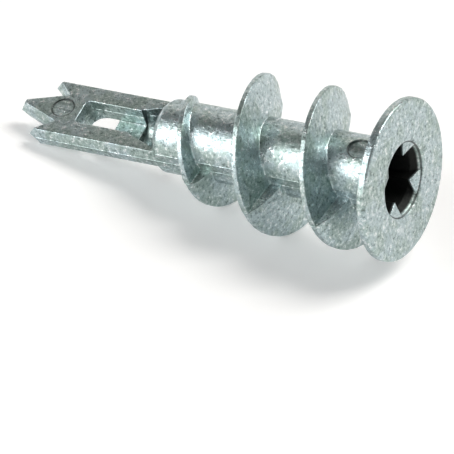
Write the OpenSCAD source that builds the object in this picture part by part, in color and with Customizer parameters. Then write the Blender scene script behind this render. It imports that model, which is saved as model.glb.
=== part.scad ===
// Self-drilling plasterboard anchor, die-cast in zinc alloy as one piece.
//
// It is modelled standing on end, in the frame of its casting die: +Z runs from the flange's
// underside to the drill tip, +X is the way the upper die half draws, and the die parts on the
// plane X = 0. Flights, blade and nose are drafted for that draw. The finished anchor is then
// laid down as it comes to rest, on the crest of its flights, with its head up and towards +X.

/* [Flange] */
// Diameter of the flange
flange_d = 15; // [13:0.1:18]
// Thickness of the flange at its rim
flange_t = 0.85; // [0.6:0.05:1.6]
// Rounding of the rim's front edge
rim_round = 0.25; // [0.05:0.05:0.4]
// Rounding of the rim's back edge
rim_back_round = 0.12; // [0.05:0.01:0.15]

/* [Mouth and drive recess] */
// Diameter of the mouth at the flange's face
mouth_d = 7.3; // [6.6:0.1:8]
// Bevel round the mouth's edge
mouth_bevel = 0.15; // [0.05:0.05:0.3]
// Depth at which the dished lug faces reach the lug points
dish_depth = 0.5; // [0.3:0.05:1.2]
// Width of each slot of the cross recess
slot_w = 3.0; // [2.4:0.1:3.3]
// Depth of the cross recess from the flange's face
recess_depth = 6.0; // [3:0.1:9]
// Radius that the slots reach just inside the mouth
slot_reach = 2.95; // [2.7:0.05:3]
// Radius that the slots reach at the bottom of the recess
slot_foot = 2.5; // [2.2:0.05:2.6]
// Turn of the cross from the parting plane
recess_turn = 4; // [0:1:90]

/* [Barrel] */
// Outer diameter of the barrel
barrel_d = 6.8; // [6.4:0.1:8]
// Length of the barrel below the flange
barrel_len = 23.45; // [21:0.05:30]
// Bevel round the barrel's front end
barrel_bevel = 0.5; // [0.2:0.05:0.7]
// How far that bevel goes in
barrel_bevel_in = 0.35; // [0.1:0.05:0.4]
// How much the barrel's radius grows at the flange
flare = 0.35; // [0:0.05:0.6]
// Length over which the barrel flares into the flange
flare_len = 2.6; // [1:0.1:4]
// Width across the flat strips left along the parting plane
strip_w = 6.56; // [6.3:0.02:6.8]
// Diameter of the screw bore
bore_d = 3.6; // [2.8:0.1:4]

/* [Flights] */
// Diameter over the flights
flight_d = 14.4; // [11:0.1:14.8]
// Advance of the flight in one turn
flight_pitch = 6.92; // [5.5:0.02:8]
// Thickness of the crest
crest_t = 0.5; // [0.4:0.05:1]
// Slope of each flank
flank_angle = 7; // [2:1:12]
// Turn at which the flight's centre line meets the flange's underside
flight_phase = 9; // [0:1:60]
// Angle at which the flight leaves the barrel under the flange
flight_head = 90; // [60:1:120]
// Angle at which it has its full height
flight_full = 180; // [150:1:220]
// Angle at which its height starts to fall towards the tip
flight_fall = 780; // [700:1:820]
// Angle at which it dies out in the barrel near the tip
flight_tip = 1185; // [1100:1:1200]

/* [Blade] */
// Thickness of the blade
blade_t = 2.0; // [1.6:0.1:2.6]
// Width of the blade's flat faces
blade_w = 6.1; // [5.4:0.1:6.4]
// Growth of the outline from the flat faces to the parting plane
draft = 0.25; // [0.1:0.05:0.3]
// Distance of the centre point's end from the flange's underside, on the flat faces
tip_reach = 38.25; // [37:0.05:42]
// Width of the centre point's end
tip_w = 0.4; // [0.2:0.1:0.8]
// Distance of the outer points' ends behind the centre point's end
outer_back = 2.35; // [1.8:0.05:3.2]
// How much further the outer points reach on the parting plane than on the flat faces
outer_bulge = 0.45; // [0:0.05:0.8]
// How much further the centre point reaches there
centre_bulge = 0.3; // [0:0.05:0.8]
// Distance of the notches behind the centre point's end
notch_back = 3.9; // [3.5:0.05:5]
// Distance of each notch from the axis
notch_side = 1.64; // [1.4:0.02:2]

/* [Window and nose] */
// Width of the window through the blade
window_w = 2.68; // [2:0.02:3]
// Distance of the window's front end behind the centre point's end, on the upper face
window_back = 5.8; // [5:0.05:7]
// How much further back the window's front end lies on the lower face
window_ramp = 0.55; // [0.2:0.05:1]
// Rounding of the window's front corners on the upper face
window_round = 0.4; // [0.2:0.05:1]
// Distance of the nose's end behind the centre point's end
nose_back = 8.7; // [8:0.05:11]
// Radius of the nose where it leaves the barrel's front end
nose_r = 3.05; // [2.95:0.01:3.3]
// Radius of the nose at its end
nose_end_r = 1.9; // [1.7:0.05:2.4]
// Thickness of the nose's floor at its end
nose_floor = 0.3; // [0.2:0.05:0.6]
// Radius of the throat at the barrel's front end
throat_r = 2.65; // [2.2:0.05:2.75]
// Distance that the throat and the screw bore reach into the blade
throat_len = 3.2; // [2:0.1:4]
// Radius of the throat at its far end
throat_end_r = 1.45; // [1.35:0.05:1.7]

/* [Ejector marks] */
// Diameter of the ejector pin marks
eject_d = 2.1; // [1.6:0.1:2.4]
// Depth of the marks
eject_depth = 0.08; // [0.04:0.01:0.15]
// Distance of the mark on the blade behind the centre point's end
eject_tip_back = 3.95; // [3.5:0.05:4.4]
// Distance of the mark on the barrel from the flange's underside
eject_barrel = 2.9; // [2.4:0.05:3.2]
// Depth of the barrel's mark below the crown of the barrel
eject_barrel_depth = 0.28; // [0.2:0.02:0.4]

/* [Pose] */
// Turn of the parting plane from level as the anchor lies
lie_turn = 24.5; // [0:0.1:180]
// How far its tip dips as it lies
lie_dip = 11; // [0:0.1:20]

/* [Hidden] */
$fn = 96;
eps = 0.01;
barrel_r = barrel_d / 2;
flange_r = flange_d / 2;
mouth_r = mouth_d / 2;
half_t = blade_t / 2;
arc_steps = 4;          // straight steps in each small rounding
flight_sink = 0.35;     // how deep the flight's root lies in the barrel
flight_root_r = barrel_r - flight_sink;
flight_step = 10;       // degrees between the flight's cross-sections
flight_rows = 5;        // points up each flank
flight_lap = 0.6;       // degrees that neighbouring half turns share
point_r = slot_w / sqrt(2);   // radius of the lugs' points
blade_lap = 1.5;        // how deep the blade lies in the barrel's front end
blade_root = barrel_len - blade_lap;
nose_lap = 0.5;         // how deep the nose lies in the barrel behind its bevel
outer_blunt = 0.15;     // how blunt the outer points are
window_flat = 0.05;     // what stays straight in the middle of the window's round end
slot_top = 1;           // depth at which the recess has its reach

// Points of an arc round c, from angle a0 to angle a1.
function arc(c, r, a0, a1, n = arc_steps) =
    [for (i = [0 : n]) c + r * [cos(a0 + (a1 - a0) * i / n), sin(a0 + (a1 - a0) * i / n)]];

// Outline, moved outwards by a distance along each edge's normal. It runs anticlockwise.
function edge_normal(p, q) = [q.y - p.y, p.x - q.x] / norm(q - p);
function grown(points, by) =
    [for (i = [0 : len(points) - 1])
        let (n = len(points),
             a = edge_normal(points[(i + n - 1) % n], points[i]),
             b = edge_normal(points[i], points[(i + 1) % n]))
        points[i] + by * (a + b) / (1 + a * b)];

// ---- flange and barrel ----

// Half section of flange and barrel, in radius and height.
function body_section() = concat(
    [[0, -flange_t]],
    arc([flange_r - rim_round, rim_round - flange_t], rim_round, -90, 0),
    arc([flange_r - rim_back_round, -rim_back_round], rim_back_round, 0, 90),
    [for (i = [0 : arc_steps * 2])
        let (s = i / (arc_steps * 2))
        [barrel_r + flare * pow(1 - s, 2), flare_len * s]],
    [[barrel_r, barrel_len - barrel_bevel],
     [barrel_r - barrel_bevel_in, barrel_len],
     [0, barrel_len]]);

module body() {
    rotate_extrude() polygon(body_section());
}

// What the die leaves flat along the parting plane, below the flange.
module strip_cuts() {
    for (side = [-1, 1])
        translate([0, side * (strip_w / 2 + barrel_r), barrel_len / 2 + eps])
            cube([2 * barrel_r, 2 * barrel_r, barrel_len], center = true);
}

// ---- flights ----
//
// The flight is a helix of constant pitch. Where a flank would hang over the die's draw, it is
// drawn straight along the draw from the crest instead, so each half turn ends in a step on the
// parting plane.

// Height of the flight's centre line at a turn.
function flight_z(turn) = flight_pitch * (turn - flight_phase) / 360;

// Radius of the crest at a turn.
function crest_r(turn) =
    turn < flight_full
        ? barrel_r + (flight_d / 2 - barrel_r) * (turn - flight_head) / (flight_full - flight_head)
    : turn > flight_fall
        ? barrel_r + (flight_d / 2 - barrel_r) * (flight_tip - turn) / (flight_tip - flight_fall)
    : flight_d / 2;

// Turn at which the crest lies right above or below a point of the flank, along the draw.
function drawn_turn(mid, off, r, top) = mid + asin(r * sin(off) / top);

// Height of a flank at radius r: side -1 is the head's side, side 1 the tip's.
function flank_z(mid, off, r, side) =
    let (top = crest_r(mid + off),
         drawn = drawn_turn(mid, off, r, top),
         turn = side < 0 ? min(mid + off, drawn) : max(mid + off, drawn))
    flight_z(turn) + side * (crest_t / 2 + (top - r) * tan(flank_angle));

// Cross-section of the flight at mid + off: up the head's flank and down the tip's.
function flight_ring(mid, off) =
    let (top = crest_r(mid + off),
         radii = [for (j = [0 : flight_rows - 1])
             flight_root_r + (top - flight_root_r) * j / (flight_rows - 1)],
         a = mid + off)
    concat(
        [for (r = radii) [r * cos(a), r * sin(a), flank_z(mid, off, r, -1)]],
        [for (j = [flight_rows - 1 : -1 : 0])
            [radii[j] * cos(a), radii[j] * sin(a), flank_z(mid, off, radii[j], 1)]]);

// Triangles that close a ring of n points, as a ladder between its two sides.
function ladder(n) =
    [for (k = [0 : ceil(n / 2) - 2])
        each concat([[n - 1 - k, k + 1, k]],
                    k + 1 < n - 2 - k ? [[n - 1 - k, n - 2 - k, k + 1]] : [])];

// Solid through a row of rings that all have as many points. Each ring runs clockwise as seen
// from the ring before it.
module ring_solid(rings) {
    n = len(rings[0]);
    last = (len(rings) - 1) * n;
    sides = [for (i = [0 : len(rings) - 2], k = [0 : n - 1])
        let (a = i * n + k, b = i * n + (k + 1) % n)
        each [[a, b, b + n], [a, b + n, a + n]]];
    near = ladder(n);
    far = [for (t = ladder(n)) [t[2] + last, t[1] + last, t[0] + last]];
    polyhedron([for (ring = rings) each ring], concat(sides, near, far), convexity = 6);
}

// Offsets of the cross-sections of one half turn, kept inside the flight's two ends.
function half_turn_offs(mid) =
    let (from = max(-90 - flight_lap, flight_head + eps - mid),
         to = min(90 + flight_lap, flight_tip - eps - mid),
         n = ceil((to - from) / flight_step))
    [for (i = [0 : n]) from + (to - from) * i / n];

module flights() {
    first = ceil((flight_head - 90) / 180) * 180;
    for (mid = [first : 180 : flight_tip + 90])
        if (mid + 90 > flight_head && mid - 90 < flight_tip)
            ring_solid([for (off = half_turn_offs(mid)) flight_ring(mid, off)]);
}

// ---- blade ----

// Plate of the blade's thickness over a convex outline, anticlockwise in Y and Z. It is widest
// on the parting plane and drafted to both flat faces. The points listed in tips reach further
// there by the bulge.
module drafted_plate(face, tips, bulge) {
    wide = grown(face, draft);
    waist = [for (i = [0 : len(face) - 1])
        wide[i] + [0, len(search(i, tips)) > 0 ? bulge : 0]];
    ring_solid([
        [for (p = face) [half_t, p.x, p.y]],
        [for (p = waist) [0, p.x, p.y]],
        [for (p = face) [-half_t, p.x, p.y]]]);
}

// One bar with its outer point. The slope behind the point runs on down to the axis.
module bar() {
    point = [blade_w / 2 - outer_blunt, tip_reach - outer_back];
    notch = [notch_side, tip_reach - notch_back];
    drafted_plate([
        [0, blade_root], [blade_w / 2, blade_root],
        [blade_w / 2, point.y - outer_blunt], point,
        [0, notch.y - notch.x * (point.y - notch.y) / (point.x - notch.x)]],
        tips = [3], bulge = outer_bulge);
}

// The long point in the middle.
module centre_point() {
    notch = [notch_side, tip_reach - notch_back];
    drafted_plate([
        [-notch.x, blade_root], [notch.x, blade_root], notch,
        [tip_w / 2, tip_reach], [-tip_w / 2, tip_reach], [-notch.x, notch.y]],
        tips = [3, 4], bulge = centre_bulge);
}

module blade() {
    bar();
    mirror([0, 1, 0]) bar();
    centre_point();
}

// Floor of the throat: the barrel's lower half carried on under the blade as a tapering wedge.
module nose() {
    end = tip_reach - nose_back;
    lap = barrel_bevel + nose_lap;
    intersection() {
        rotate_extrude()
            polygon([[0, barrel_len - lap], [nose_r, barrel_len - lap], [nose_r, barrel_len],
                [nose_end_r, end], [0, end]]);
        rotate([-90, 0, 0])
            linear_extrude(2 * barrel_r, center = true)
                polygon([[0, lap - barrel_len], [-barrel_r, lap - barrel_len],
                    [-nose_r, -barrel_len], [-half_t - nose_floor, -end], [0, -end]]);
    }
}

// Outline of the window in Y and Z, with its front end at height z and rounded corners.
function window_outline(z, corner) = concat(
    [[-window_w / 2, barrel_len], [window_w / 2, barrel_len]],
    arc([window_w / 2 - corner, z - corner], corner, 0, 90),
    arc([corner - window_w / 2, z - corner], corner, 90, 180));

// Window through the blade. Its front end is a ramp, square above and round below.
module window() {
    upper = window_outline(tip_reach - window_back, window_round);
    lower = window_outline(tip_reach - window_back - window_ramp, (window_w - window_flat) / 2);
    ring_solid([
        [for (p = upper) [2 * half_t, p.x, p.y]],
        [for (p = upper) [half_t, p.x, p.y]],
        [for (p = lower) [-half_t - eps, p.x, p.y]]]);
}

// Throat between the bore and the window: a half cone below, drawn straight up above.
module throat() {
    translate([0, 0, barrel_len]) {
        cylinder(r1 = throat_r, r2 = throat_end_r, h = throat_len);
        rotate([90, 0, 90])
            linear_extrude(2 * half_t)
                polygon([[-throat_r, 0], [throat_r, 0], [throat_end_r, throat_len],
                    [-throat_end_r, throat_len]]);
    }
}

// ---- bore and recess ----

// Dished mouth: the bevel at the face and the lugs' sloping faces.
module mouth() {
    translate([0, 0, -flange_t])
        rotate_extrude()
            polygon([[0, -eps], [mouth_r + eps, -eps], [mouth_r - mouth_bevel, mouth_bevel],
                [point_r, dish_depth], [0, dish_depth]]);
}

// Cross recess: two crossed slots within a tapering round envelope.
module recess() {
    rim = mouth_r - mouth_bevel;
    intersection() {
        translate([0, 0, -flange_t])
            rotate_extrude()
                polygon([[0, 0], [rim, 0], [rim, mouth_bevel], [slot_reach, slot_top],
                    [slot_foot, recess_depth], [0, recess_depth + slot_foot / 2]]);
        for (turn = [0, 90])
            rotate([0, 0, recess_turn + turn])
                translate([0, 0, recess_depth / 2])
                    cube([2 * mouth_d, slot_w, 2 * recess_depth], center = true);
    }
}

module bore() {
    translate([0, 0, -flange_t + dish_depth / 2])
        cylinder(d = bore_d, h = barrel_len + flange_t - dish_depth / 2 + throat_len);
}

// ---- marks of the ejector pins ----

module ejector_marks() {
    translate([half_t - eject_depth, 0, tip_reach - eject_tip_back])
        rotate([0, 90, 0]) cylinder(d = eject_d, h = barrel_r);
    translate([barrel_r - eject_barrel_depth, 0, eject_barrel])
        rotate([0, 90, 0]) cylinder(d = eject_d, h = barrel_r);
}

// ---- the anchor ----

module anchor() {
    color([0.62, 0.64, 0.63])
    rotate([0, -lie_dip, 0]) rotate([lie_turn, 0, 0]) rotate([0, -90, 0])
    difference() {
        union() {
            difference() {
                body();
                strip_cuts();
            }
            flights();
            difference() {
                union() {
                    blade();
                    nose();
                }
                window();
                throat();
            }
        }
        mouth();
        recess();
        bore();
        ejector_marks();
    }
}

anchor();
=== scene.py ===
"""Self-drilling plasterboard anchor: one zinc die casting on a studio table."""
import logging
import math
from dataclasses import dataclass
from enum import Enum

import bpy
from mathutils import Euler, Matrix, Vector


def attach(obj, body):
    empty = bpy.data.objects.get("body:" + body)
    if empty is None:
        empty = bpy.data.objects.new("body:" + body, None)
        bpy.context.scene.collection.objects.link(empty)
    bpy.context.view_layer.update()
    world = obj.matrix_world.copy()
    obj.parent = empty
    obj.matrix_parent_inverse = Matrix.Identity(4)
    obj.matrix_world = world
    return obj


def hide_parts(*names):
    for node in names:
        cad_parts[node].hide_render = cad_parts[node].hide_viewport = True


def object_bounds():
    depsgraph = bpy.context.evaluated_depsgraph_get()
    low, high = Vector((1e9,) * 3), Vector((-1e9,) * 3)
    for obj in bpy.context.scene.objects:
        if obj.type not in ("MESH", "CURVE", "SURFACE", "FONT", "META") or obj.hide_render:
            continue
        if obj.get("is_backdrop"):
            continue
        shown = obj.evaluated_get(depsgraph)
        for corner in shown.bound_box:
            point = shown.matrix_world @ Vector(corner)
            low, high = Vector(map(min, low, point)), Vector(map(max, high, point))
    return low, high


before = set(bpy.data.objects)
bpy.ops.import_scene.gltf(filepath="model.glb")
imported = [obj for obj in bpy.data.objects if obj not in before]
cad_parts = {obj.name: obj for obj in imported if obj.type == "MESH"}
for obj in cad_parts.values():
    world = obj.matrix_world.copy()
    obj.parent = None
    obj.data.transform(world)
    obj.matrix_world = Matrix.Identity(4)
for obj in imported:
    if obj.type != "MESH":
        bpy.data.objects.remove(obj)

log = logging.getLogger("anchor")

MM = 0.001
"""One millimetre in metres, the unit of every coordinate here."""
NOISE_MEAN = 0.5
"""Mean value of a noise texture."""

Colour = tuple[float, float, float]
Point = tuple[float, float, float]
Band = tuple[float, float]


class Nodes:
    """A node tree that hands out the outputs of its new nodes as shades."""

    def __init__(self, tree: bpy.types.NodeTree) -> None:
        """Wraps a node tree."""
        self.tree = tree

    def fill(self, node: bpy.types.Node, plugs: dict[int | str, object]) -> None:
        """Links or sets the inputs of a node.

        Args:
            node: The node.
            plugs: What goes into its inputs, by name or by number: a Shade or a plain value.
        """
        for name, value in plugs.items():
            if isinstance(value, Shade):
                self.tree.links.new(value.socket, node.inputs[name])
            else:
                node.inputs[name].default_value = value

    def add(self, kind: str, plugs: dict[int | str, object] | None = None,
            out: int | str = 0, **settings: object) -> "Shade":
        """Adds a node of any kind.

        Args:
            kind: The node's type name.
            plugs: What goes into its inputs, as in fill.
            out: The output that is handed on, by name or by number.
            settings: The node's own properties, which are set first.

        Returns:
            The chosen output.
        """
        made = self.tree.nodes.new(kind)
        for name, value in settings.items():
            setattr(made, name, value)
        self.fill(made, plugs or {})
        return Shade(self, made.outputs[out])


class Shade:
    """A shader socket that can be used in sums, so a pattern reads like a formula."""

    def __init__(self, nodes: Nodes, socket: bpy.types.NodeSocket) -> None:
        """Wraps an output socket of one of the nodes."""
        self.nodes = nodes
        self.socket = socket

    def _math(self, operation: str, first: object, second: object = 0.0) -> "Shade":
        """Joins two values with a Math node."""
        return self.nodes.add("ShaderNodeMath", {0: first, 1: second}, operation=operation)

    def __add__(self, other: object) -> "Shade":
        """This value plus another."""
        return self._math("ADD", self, other)

    def __radd__(self, other: object) -> "Shade":
        """Another value plus this one."""
        return self._math("ADD", other, self)

    def __sub__(self, other: object) -> "Shade":
        """This value less another."""
        return self._math("SUBTRACT", self, other)

    def __rsub__(self, other: object) -> "Shade":
        """Another value less this one."""
        return self._math("SUBTRACT", other, self)

    def __mul__(self, other: object) -> "Shade":
        """This value times another."""
        return self._math("MULTIPLY", self, other)

    def __rmul__(self, other: object) -> "Shade":
        """Another value times this one."""
        return self._math("MULTIPLY", other, self)

    def size(self) -> "Shade":
        """This value without its sign."""
        return self._math("ABSOLUTE", self)

    def root(self) -> "Shade":
        """This value's square root."""
        return self._math("SQRT", self)

    def clamped(self) -> "Shade":
        """This value kept between 0 and 1."""
        return self.nodes.add("ShaderNodeClamp", {0: self})

    def band(self, ends: Band, start: float = 0.0, end: float = 1.0) -> "Shade":
        """Maps a range of this value smoothly to another range.

        Args:
            ends: The value that gives start and the one that gives end.
            start: The result at and before the first of them.
            end: The result at and past the second.

        Returns:
            The mapped value.
        """
        return self.nodes.add("ShaderNodeMapRange",
                              {0: self, 1: ends[0], 2: ends[1], 3: start, 4: end},
                              interpolation_type="SMOOTHSTEP")

    def above(self, ends: Band) -> "Shade":
        """1 where this value is above a range, 0 below it, and smooth between."""
        return self.band(ends, 0.0, 1.0)

    def below(self, ends: Band) -> "Shade":
        """1 where this value is below a range, 0 above it, and smooth between."""
        return self.band(ends, 1.0, 0.0)

    def blend(self, first: object, second: object) -> "Shade":
        """Mixes two colours by this value.

        Args:
            first: The colour at 0, a Shade or a plain colour.
            second: The colour at 1.

        Returns:
            The mixed colour.
        """
        plain = [c if isinstance(c, Shade) else (*c, 1.0) for c in (first, second)]
        return self.nodes.add("ShaderNodeMix", {0: self, 6: plain[0], 7: plain[1]},
                              out=2, data_type="RGBA")


def principled(name: str) -> tuple[bpy.types.Material, Nodes, bpy.types.Node]:
    """Makes a material.

    Args:
        name: The material's name.

    Returns:
        The material, its nodes and its Principled shader.
    """
    made = bpy.data.materials.new(name)
    made.use_nodes = True
    return made, Nodes(made.node_tree), made.node_tree.nodes["Principled BSDF"]


def seen_rays(nodes: Nodes) -> Shade:
    """1 on rays that show the backdrop: straight, in metal or through glass. Otherwise 0.

    Args:
        nodes: The nodes that ask.

    Returns:
        The value.
    """
    straight, metal, glass = (nodes.add("ShaderNodeLightPath", out=f"Is {ray} Ray")
                              for ray in ("Camera", "Glossy", "Transmission"))
    return (straight + metal + glass).clamped()


@dataclass(frozen=True)
class DieFrame:
    """The frame of the casting die: X is the die's draw, Z runs from the flange to the tip."""

    turn: float = 24.5
    """Turn of the parting plane from level, in degrees, as the anchor lies."""
    dip: float = 11.0
    """How far the tip dips, in degrees."""

    def into(self) -> Euler:
        """The turn that takes a place on the lying anchor into the die.

        Returns:
            The turn, for a Mapping node.
        """
        stand = Matrix.Rotation(math.radians(-90.0), 3, "Y")
        roll = Matrix.Rotation(math.radians(self.turn), 3, "X")
        nod = Matrix.Rotation(math.radians(-self.dip), 3, "Y")
        return (nod @ roll @ stand).transposed().to_euler("XYZ")


@dataclass(frozen=True)
class Spot:
    """The shaded place in the die's frame, in millimetres."""

    draw: Shade
    """Distance from the parting plane."""
    side: Shade
    """Distance from the axis along the parting plane."""
    along: Shade
    """Distance from the flange's underside towards the tip."""
    radius: Shade
    """Distance from the axis."""


@dataclass(frozen=True)
class Landmarks:
    """Where the finish of the casting changes, in millimetres of a Spot."""

    flange: Band = (0.3, 0.5)
    """Along: where the parting line starts past the flange."""
    skin: Band = (3.0, 3.15)
    """Radius: from the bore's wall to the barrel's skin."""
    barrel: Band = (3.5, 3.6)
    """Radius: from the barrel's skin to the flights."""
    strips_end: Band = (23.0, 23.3)
    """Along: where the strips beside the parting line run out."""
    barrel_end: Band = (23.4, 24.0)
    """Along: from the barrel's end to the blade."""
    strip: float = 0.9
    """Draw: the strips' edges."""
    upper: Band = (0.0, 0.3)
    """Draw: where the die half with the ejector pins starts."""
    mark: float = 1.05
    """Radius of the ejector pins' marks."""
    mark_places: tuple[float, ...] = (2.9, 34.30)
    """Along: the marks' middles."""
    mark_edge: Band = (0.03, 0.12)
    # Distance from a mark's edge over which its painted shade ends.
    """Distance from a mark's edge over which its dirt ends."""
    mark_floor: Band = (-0.1, -0.02)
    """Distance from a mark's edge over which its scratches end."""
    ring: float = 3.5
    # Radius of the ring of painted shade round the lugs.
    """Radius of the dirty ring round the lugs."""
    ring_edge: Band = (0.04, 0.1)
    # Distance from the ring over which its painted shade ends.
    """Distance from the ring over which its dirt ends."""
    ring_end: Band = (0.0, 0.1)
    """Along: where the ring ends."""
    mouth: Band = (-0.03, 0.03)
    """Along: from the mouth to the recess."""
    mouth_reach: float = 3.55
    """Radius of the hole at the mouth."""
    hole_reach: float = 3.14
    """Radius that holds the recess and the bore."""
    hole_edge: Band = (-0.04, 0.06)
    # Distance inside those radii over which the painted shade comes in.
    """Distance inside those radii over which the soot comes in."""
    lug: float = 0.1875
    """Along: the front of the lugs, carried on to the axis."""
    lug_slope: float = 0.2536
    """How far that front comes forward for each millimetre of radius."""
    lug_edge: Band = (0.06, 0.3)
    # Distance past the lugs' front over which the painted shade comes in.
    """Distance past the lugs' front over which the soot comes in."""
    hole_end: Band = (23.3, 23.4)
    """Along: from the bore to the throat between the blade's walls."""
    throat_end: Band = (23.8, 25.6)
    # Along: where the painted shade in the throat thins out.
    """Along: where the throat's soot thins out."""
    throat: float = 2.6
    """Side: the throat's wall at the barrel's end."""
    throat_start: float = 23.45
    """Along: the barrel's end."""
    throat_slope: float = 0.375
    """How far the wall comes in for each millimetre along."""
    throat_wall: Band = (-0.15, 0.0)
    # Distance from the wall over which the painted shade ends.
    """Distance from the wall over which the soot ends."""
    throat_top: Band = (0.85, 0.97)
    """Draw: where the blade's upper face starts."""


@dataclass(frozen=True)
class CastZinc:
    """The finish of a raw zinc die casting: a dull, grainy skin with thin parting lines, painted
    glints and pit shade on its grain, and painted shade in its hollows.
    """

    skin: Colour = (0.43, 0.528, 0.545)
    """Colour of the clean skin."""
    stain: Colour = (0.355, 0.45, 0.425)
    """Colour where the die's lubricant has stained it."""
    pit_shade: Colour = (0.09, 0.115, 0.105)
    # Colour of the painted shade in the pits of the grain.
    """Colour in the pits of the grain."""
    glint: Colour = (0.92, 0.95, 0.95)
    # Colour of the painted glints: painted highlights on the grain's tops.
    """Colour of the grain's burnished tops."""
    painted_shade: Colour = (0.022, 0.024, 0.023)
    # Colour of the painted shade deep in the recess, the bore and the throat, in a ring round the
    # lugs and on the rims of the ejector pins' marks.
    """Colour of the burnt lubricant left deep in the recess and the bore."""
    roughness: float = 0.31
    """Roughness of the clean skin."""
    metallic: float = 0.92
    grain: float = 0.19
    """Size of the grain, in millimetres."""
    fine: float = 0.3
    """Size of the finest grain beside that of the grain."""
    fine_share: float = 0.35
    """Share of the finest grain in the mottle."""
    cloud: float = 1.1
    """Size of the stains, in millimetres."""
    layering: float = 0.6
    """Strength of each finer layer of a noise beside the one before."""
    stain_band: Band = (0.42, 0.62)
    """Noise over which the stain comes in."""
    glint_band: Band = (0.51, 0.65)
    # Mottle over which the painted glint comes in.
    """Mottle over which the glint comes in."""
    pit_shade_band: Band = (0.48, 0.35)
    # Mottle over which the painted shade of the pits comes in.
    """Mottle over which the pits come in."""
    cover: float = 0.75
    # Share of the colour that the strongest painted glint or painted pit shade takes.
    """Share of the colour that the strongest glint or pit takes."""
    rim_shade: float = 0.85
    # Share of the colour that the painted shade takes on the rims of the ejector pins' marks.
    """Share of the colour that soot takes round the ejector pins' marks."""
    relief: float = 0.075
    """Height of the grain, in millimetres."""
    line: float = 0.045
    """Height of the parting line, in millimetres."""
    line_width: float = 0.07
    """Half the width of the parting line, in millimetres."""
    line_top: float = 0.3
    """Share of that width that has the full height."""
    strip_share: float = 0.8
    """Height of the strips' edges beside the parting line's."""
    strip_top: float = 0.02
    """Half the width of the strips' edges that has their full height, in millimetres."""
    scratch: float = 0.07
    """Height of the scratches in the ejector pins' marks, in millimetres."""
    scratch_width: float = 0.08
    """Width of the scratches, in millimetres."""
    scratch_length: float = 25.0
    """Length of the scratches beside their width."""
    rough_grain: float = 0.35
    """Part of the roughness that follows the grain."""
    rough_cloud: float = 0.12
    """Part of the roughness that follows the stains."""
    rough_shade: float = 0.25
    # Roughness that is added where the shade is painted.
    """Roughness that the soot adds."""
    ring_shade: float = 0.75
    # Share of painted shade in the ring round the lugs.
    """Share of soot in the ring round the lugs."""
    throat_shade: float = 0.85
    # Share of painted shade at the start of the throat.
    """Share of soot at the start of the throat."""
    die: DieFrame = DieFrame()
    at: Landmarks = Landmarks()

    def material(self) -> bpy.types.Material:
        """Makes the casting's material.

        Returns:
            The material.
        """
        made, nodes, shader = principled("cast_zinc")
        place = nodes.add("ShaderNodeTexCoord", out="Object")
        turned = nodes.add("ShaderNodeMapping", {"Vector": place, "Rotation": self.die.into()})
        spot = self._spot(turned)
        grain = self._noise(place, self.grain, detail=4.0)
        fine = self._noise(place, self.fine * self.grain, detail=1.0)
        cloud = self._noise(place, self.cloud, detail=3.0)
        mottle = fine * self.fine_share + grain * (1.0 - self.fine_share)
        edge, floor = self._marks(spot)
        shade_mask = self._deep_shade(spot)
        colour = cloud.above(self.stain_band).blend(self.skin, self.stain)
        # Painted glints: bright painted highlights on the grain's tops.
        colour = mottle.band(self.glint_band, end=self.cover).blend(colour, self.glint)
        # Painted shade in the grain's pits.
        colour = mottle.band(self.pit_shade_band, end=self.cover).blend(colour, self.pit_shade)
        # Painted shade on the rims of the ejector pins' marks.
        colour = (edge * self.rim_shade).blend(colour, self.painted_shade)
        # Painted shade deep in the recess, the bore and the throat, and in a ring round the lugs.
        colour = shade_mask.blend(colour, self.painted_shade)
        rough = (NOISE_MEAN - grain) * self.rough_grain + (cloud - NOISE_MEAN) * self.rough_cloud
        rough = rough + self.roughness + shade_mask * self.rough_shade
        drag = nodes.add("ShaderNodeMapping", {"Vector": turned,
                                               "Scale": (1.0, 1.0, 1 / self.scratch_length)})
        height = mottle * self.relief + self._seam(spot) * self.line
        height = height + floor * self._noise(drag, self.scratch_width, detail=1.0) * self.scratch
        bump = nodes.add("ShaderNodeBump", {"Strength": 1.0, "Distance": MM, "Height": height})
        nodes.fill(shader, {"Base Color": colour, "Roughness": rough.clamped(),
                            "Metallic": self.metallic, "Normal": bump})
        return made

    @staticmethod
    def _spot(turned: Shade) -> Spot:
        """Splits a place in the die's frame.

        Args:
            turned: The place as a vector, in metres.

        Returns:
            The place in its parts.
        """
        draw, side, along = (turned.nodes.add("ShaderNodeSeparateXYZ", {0: turned}, out=k)
                             * (1 / MM) for k in range(3))
        return Spot(draw, side, along, (draw * draw + side * side).root())

    def _noise(self, place: Shade, size: float, detail: float) -> Shade:
        """Noise with blobs of a given size.

        Args:
            place: The place that it is read at, in metres.
            size: About the blobs' size, in millimetres.
            detail: How many finer layers it has.

        Returns:
            The noise, between 0 and 1.
        """
        return place.nodes.add("ShaderNodeTexNoise",
                               {"Vector": place, "Scale": 1 / (2 * size * MM),
                                "Detail": detail, "Roughness": self.layering})

    def _seam(self, spot: Spot) -> Shade:
        """The parting line, and the edges of the strips beside it on the barrel.

        Args:
            spot: The shaded place.

        Returns:
            1 on the lines, 0 elsewhere.
        """
        at, off = self.at, spot.draw.size()
        seam = off.below((self.line_top * self.line_width, self.line_width))
        edge = (off - at.strip).size().band((self.strip_top, self.line_width),
                                            self.strip_share, 0.0)
        barrel = spot.radius.below(at.barrel) * spot.along.below(at.strips_end)
        outside = (spot.radius.above(at.skin) + spot.along.above(at.barrel_end)).clamped()
        return (seam + edge * barrel) * outside * spot.along.above(at.flange)

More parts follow.
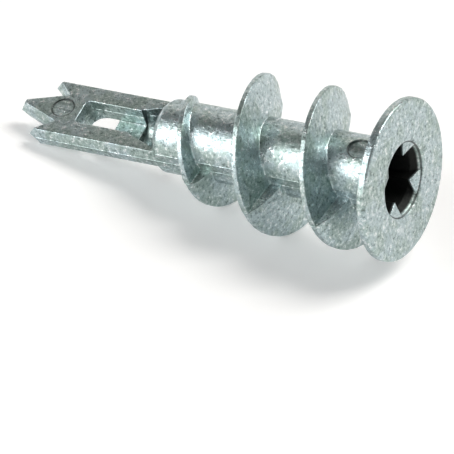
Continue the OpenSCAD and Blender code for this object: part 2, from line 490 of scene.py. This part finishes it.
    def _marks(self, spot: Spot) -> tuple[Shade, Shade]:
        """The round marks that the ejector pins leave on the upper die half's side.

        Args:
            spot: The shaded place.

        Returns:
            The painted shade on the marks' rims and the marks' scratched floors, each 1 there and
            0 elsewhere.
        """
        at, upper = self.at, spot.draw.above(self.at.upper)
        ways = [spot.along - place for place in at.mark_places]
        reaches = [(spot.side * spot.side + way * way).root() - at.mark for way in ways]
        # Painted shade along each mark's rim.
        shaded_rims = sum(reach.size().below(at.mark_edge) for reach in reaches)
        floors = sum(reach.below(at.mark_floor) for reach in reaches)
        return shaded_rims * upper, floors * upper

    def _deep_shade(self, spot: Spot) -> Shade:
        """The painted shade deep inside the recess, the bore and the throat, and in a ring round
        the lugs at the mouth.

        Args:
            spot: The shaded place.

        Returns:
            1 where the shade is painted in full, 0 on the outside.
        """
        at = self.at
        # Painted shade: the recess and the bore, the throat between the blade's walls, and a ring
        # round the lugs.
        lug = at.lug - spot.radius * at.lug_slope
        reach = spot.along.band(at.mouth, at.mouth_reach, at.hole_reach)
        hole = (reach - spot.radius).above(at.hole_edge) * (spot.along - lug).above(at.lug_edge)
        hole = hole * spot.along.below(at.hole_end)
        wall = at.throat - (spot.along - at.throat_start) * at.throat_slope
        throat = (spot.side.size() - wall).below(at.throat_wall) * spot.draw.below(at.throat_top)
        throat = throat * spot.along.above(at.hole_end)
        throat = throat * spot.along.band(at.throat_end, self.throat_shade, 0.0)
        # A ring of painted shade round the lugs at the mouth.
        ring = (spot.radius - at.ring).size().band(at.ring_edge, self.ring_shade, 0.0)
        return (hole + throat + ring * spot.along.below(at.ring_end)).clamped()


@dataclass(frozen=True)
class TablePaper:
    """A plain white paper table that stays white to the eye and keeps the anchor's shadow."""

    white: Colour = (0.9, 0.9, 0.9)
    roughness: float = 0.8
    lift: float = 0.25
    """Light that the paper adds where it is looked at."""

    def material(self) -> bpy.types.Material:
        """Makes the table's material.

        Returns:
            The material.
        """
        made, nodes, shader = principled("table_paper")
        nodes.fill(shader, {"Base Color": (*self.white, 1.0), "Roughness": self.roughness,
                            "Emission Strength": 1.0,
                            "Emission Color": seen_rays(nodes) * self.lift})
        return made


def deselect() -> None:
    """Leaves object mode and deselects every object."""
    if bpy.context.object and bpy.context.object.mode != "OBJECT":
        bpy.ops.object.mode_set(mode="OBJECT")
    bpy.ops.object.select_all(action="DESELECT")


def pick(piece: bpy.types.Object) -> None:
    """Makes one piece the only selected and the active one.

    Args:
        piece: The piece.
    """
    deselect()
    piece.select_set(True)
    bpy.context.view_layer.objects.active = piece


class Skin(Enum):
    """How finely the casting's skin is made: the size of its cells, in millimetres."""

    FINAL = 0.06
    QUICK = 0.16


@dataclass
class Casting:
    """The anchor's one casting, with the soft edges and fillets that a die leaves."""

    node: str = "anchor"
    """The CAD node that it stands for."""
    finish: CastZinc = CastZinc()
    weld: float = 0.0005
    """Distance within which the solid's points are joined, in millimetres."""
    relax: int = 3
    """Passes of smoothing that round the edges."""
    pull: float = 0.5
    """How far each pass moves a point towards the middle of those round it."""
    triangles: int = 190000
    """Triangles that the finished skin may have."""

    def build(self) -> bpy.types.Object:
        """Makes the casting from its solid and dresses it.

        Returns:
            The finished piece.
        """
        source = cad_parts[self.node]
        piece = source.copy()
        piece.data = source.data.copy()
        piece.name = "zinc_casting"
        piece.data.name = "zinc_casting"
        bpy.context.scene.collection.objects.link(piece)
        pick(piece)
        bpy.ops.object.mode_set(mode="EDIT")
        bpy.ops.mesh.select_all(action="SELECT")
        bpy.ops.mesh.remove_doubles(threshold=self.weld * MM)
        bpy.ops.object.mode_set(mode="OBJECT")
        self._soften(piece)
        piece.data.materials.clear()
        piece.data.materials.append(self.finish.material())
        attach(piece, "root")
        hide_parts(self.node)
        return piece

    def _soften(self, piece: bpy.types.Object) -> None:
        """Rounds every edge and corner by a tenth of a millimetre.

        Args:
            piece: The casting, a closed mesh with sharp edges.
        """
        size = Skin.FINAL
        skin = piece.modifiers.new("skin", "REMESH")
        skin.mode = "VOXEL"
        skin.voxel_size = size.value * MM
        skin.use_smooth_shade = True
        soft = piece.modifiers.new("soft", "SMOOTH")
        soft.factor = self.pull
        soft.iterations = self.relax
        bpy.ops.object.modifier_apply(modifier="skin")
        bpy.ops.object.modifier_apply(modifier="soft")
        faces = 2 * len(piece.data.polygons)
        if faces > self.triangles:
            thin = piece.modifiers.new("thin", "DECIMATE")
            thin.ratio = self.triangles / faces
            bpy.ops.object.modifier_apply(modifier="thin")
        bpy.ops.object.shade_smooth()


@dataclass(frozen=True)
class Lamp:
    """A soft lamp over the table."""

    name: str
    place: Point
    """Where it hangs, in metres."""
    size: tuple[float, float]
    """Its width and height, in metres."""
    power: float
    """Its power in watts."""
    colour: Colour = (1.0, 1.0, 1.0)

    def hang(self, aim: Point) -> None:
        """Hangs the lamp.

        Args:
            aim: The point that it shines at.
        """
        lamp = bpy.data.lights.new(self.name, "AREA")
        lamp.shape = "RECTANGLE"
        lamp.size, lamp.size_y = self.size
        lamp.energy = self.power
        lamp.color = self.colour
        hung = bpy.data.objects.new(self.name, lamp)
        hung.location = self.place
        way = Vector(aim) - Vector(self.place)
        hung.rotation_euler = way.to_track_quat("-Z", "Y").to_euler()
        bpy.context.scene.collection.objects.link(hung)


@dataclass
class Studio:
    """Table, lamps, room and camera."""

    finish: TablePaper = TablePaper()
    table: float = 3.0
    """Side of the table, in metres."""
    lamps: tuple[Lamp, ...] = (
        Lamp("front", (-0.52, -0.77, 0.36), (0.6, 0.55), 5.6),
        Lamp("top", (0.35, 0.39, 0.86), (0.6, 0.6), 8.0, (1.0, 0.98, 0.95)),
        Lamp("back", (-0.55, 0.57, 0.62), (0.7, 0.5), 1.0, (1.0, 0.93, 0.86)),
    )
    aim: Point = (-0.016, 0.0, 0.0)
    """The anchor's middle, which the lamps point at."""
    walls: Band = (0.1, 0.55)
    """Heights over which the walls turn into the ceiling, with 1 straight up."""
    ceiling: float = 0.12
    """Strength of the ceiling beside that of the walls."""
    haze: float = 0.3
    """Share of the room's light that dull surfaces get."""
    eye: Point = (0.239962, -0.538017, 0.327170)
    """Where the camera stands, in metres."""
    turn: Point = (60.12075, -7.37056, 29.64373)
    """The camera's turn, in degrees."""
    lens: float = 597.107
    """Focal length of the camera, in millimetres."""
    sensor: float = 36.0
    """Width of the camera's picture plane, in millimetres."""
    clip: Band = (0.01, 10.0)
    """Nearest and farthest distance that the camera shows, in metres."""

    def build(self) -> None:
        """Sets up the whole studio."""
        self._table()
        for lamp in self.lamps:
            lamp.hang(self.aim)
        self._sky()
        self._camera()

    def _table(self) -> None:
        """Lays the table under the anchor."""
        deselect()
        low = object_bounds()[0]
        bpy.ops.mesh.primitive_plane_add(size=self.table, location=(0, 0, low.z))
        table = bpy.context.object
        table.name = "table"
        bpy.ops.object.transform_apply(location=True, rotation=True, scale=True)
        table.data.materials.append(self.finish.material())
        table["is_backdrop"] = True

    def _sky(self) -> None:
        """Fills the room with even light under a dim ceiling, and shows a white backdrop."""
        world = bpy.data.worlds.new("studio_room")
        bpy.context.scene.world = world
        world.use_nodes = True
        nodes = Nodes(world.node_tree)
        straight, dull = (nodes.add("ShaderNodeLightPath", out=f"Is {ray} Ray")
                          for ray in ("Camera", "Diffuse"))
        way = nodes.add("ShaderNodeTexCoord", out="Generated")
        height = nodes.add("ShaderNodeSeparateXYZ", {0: way}, out=2)
        room = height.band(self.walls, 1.0, self.ceiling) * (1.0 - dull * (1.0 - self.haze))
        nodes.fill(world.node_tree.nodes["Background"],
                   {"Color": (1.0, 1.0, 1.0, 1.0),
                    "Strength": straight + (1.0 - straight) * room})

    def _camera(self) -> None:
        """Sets the camera up."""
        lens = bpy.data.cameras.new("camera")
        lens.lens = self.lens
        lens.sensor_width = self.sensor
        lens.clip_start, lens.clip_end = self.clip
        camera = bpy.data.objects.new("camera", lens)
        camera.location = self.eye
        camera.rotation_euler = Euler([math.radians(a) for a in self.turn], "XYZ")
        bpy.context.scene.collection.objects.link(camera)
        bpy.context.scene.camera = camera


def main() -> None:
    """Builds the anchor and its studio, and reports each piece."""
    logging.basicConfig(level=logging.INFO, format="%(name)s: %(message)s")
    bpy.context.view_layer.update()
    bpy.context.scene.view_settings.view_transform = "Standard"
    piece = Casting().build()
    log.info("%s: %d faces", piece.name, len(piece.data.polygons))
    Studio().build()
    log.info("studio set up")


if __name__ == "__main__":
    main()
